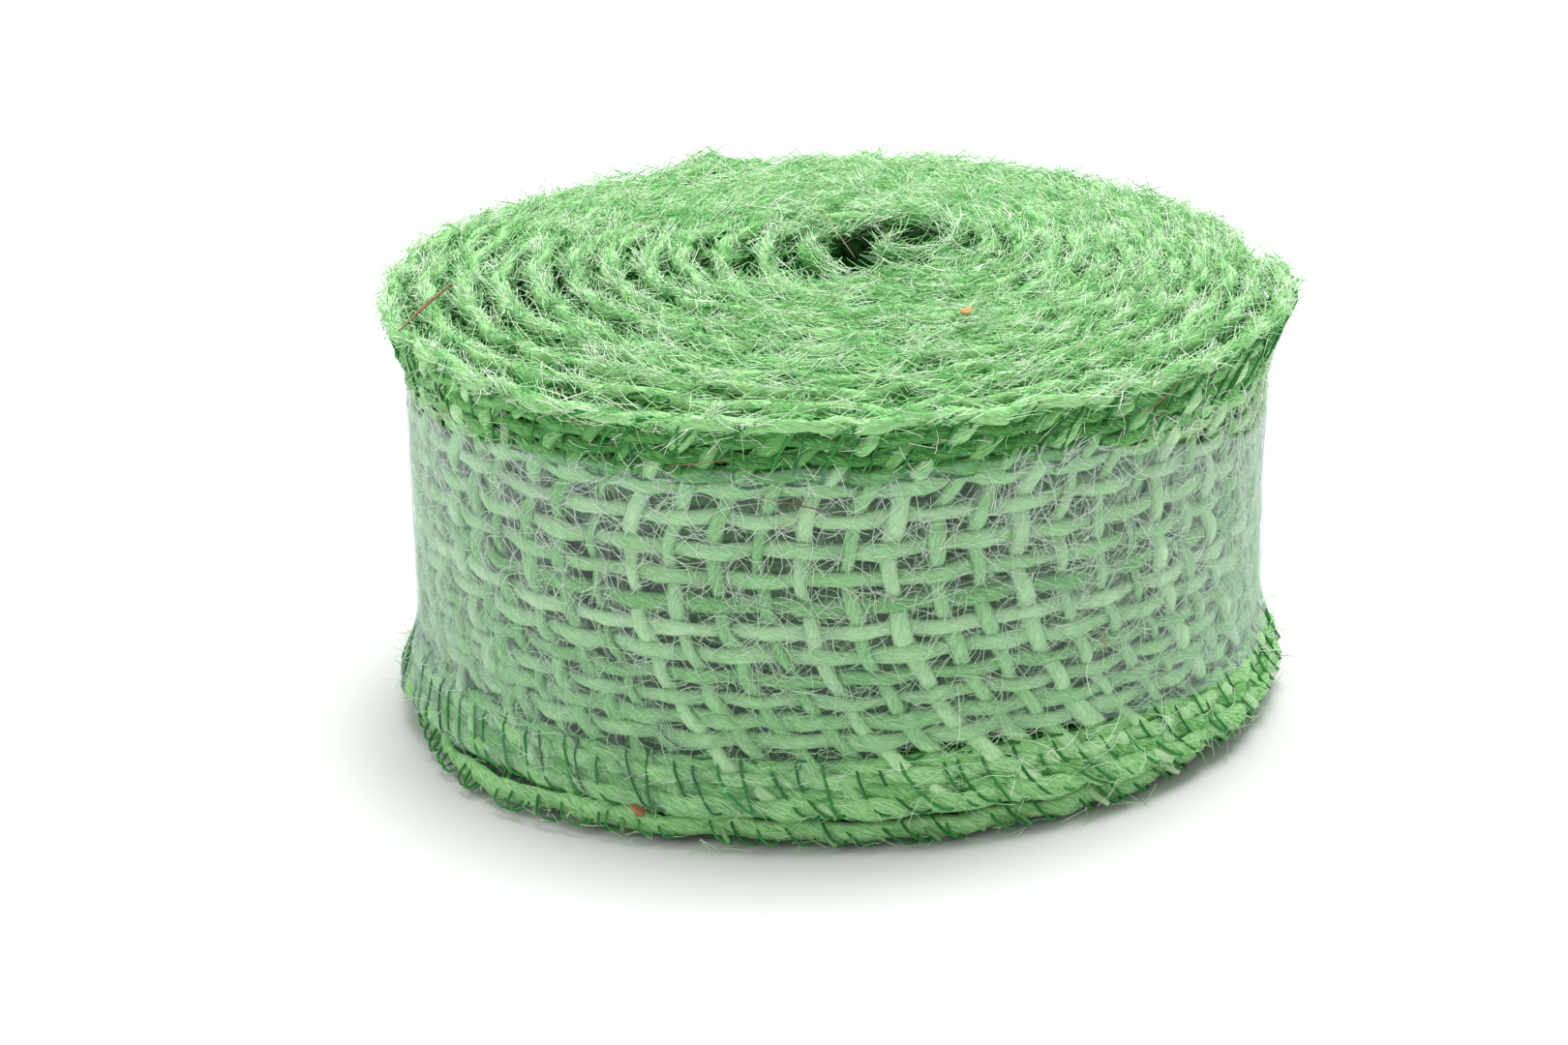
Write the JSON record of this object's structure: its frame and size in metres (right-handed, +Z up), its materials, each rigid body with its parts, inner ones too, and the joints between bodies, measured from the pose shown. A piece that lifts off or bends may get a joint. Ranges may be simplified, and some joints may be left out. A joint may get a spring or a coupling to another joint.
{
  "type": "wound jute ribbon roll",
  "caption": "Coreless roll of open-weave jute ribbon with overlocked edges, wound flat round a small hole and held shut by a clear stretch-film band.",
  "frame": {"origin": "the middle of the roll's underside, on the plane that its lower edge stands on", "axes": "+Z up along the roll's winding axis, which is its shortest side; -Y is the side seen in front; the ribbon's outer end is near +X"},
  "size_m": [0.0852, 0.084, 0.04],
  "materials": {
    "jute_weft": "matt, hairy, soft-twisted yarn, dyed light green",
    "jute_warp": "matt, hairy, soft-twisted yarn, dyed light green",
    "overlock_thread": "smooth fine sewing thread, dark green",
    "stretch_film": "clear thin plastic stretch film with fine wrinkles"
  },
  "bodies": {
    "root": {"weft_web": "jute_weft", "warp_yarn_01": "jute_warp", "warp_yarn_02": "jute_warp", "warp_yarn_03": "jute_warp", "warp_yarn_04": "jute_warp", "warp_yarn_05": "jute_warp", "warp_yarn_06": "jute_warp", "warp_yarn_07": "jute_warp", "warp_yarn_08": "jute_warp", "warp_yarn_09": "jute_warp", "warp_yarn_10": "jute_warp", "warp_yarn_11": "jute_warp", "lower_edge_cord": "jute_warp", "lower_needle_thread": "overlock_thread", "lower_looper_thread": "overlock_thread", "upper_edge_cord": "jute_warp", "upper_needle_thread": "overlock_thread", "upper_looper_thread": "overlock_thread", "film_band": "stretch_film"}
  },
  "joints": []
}
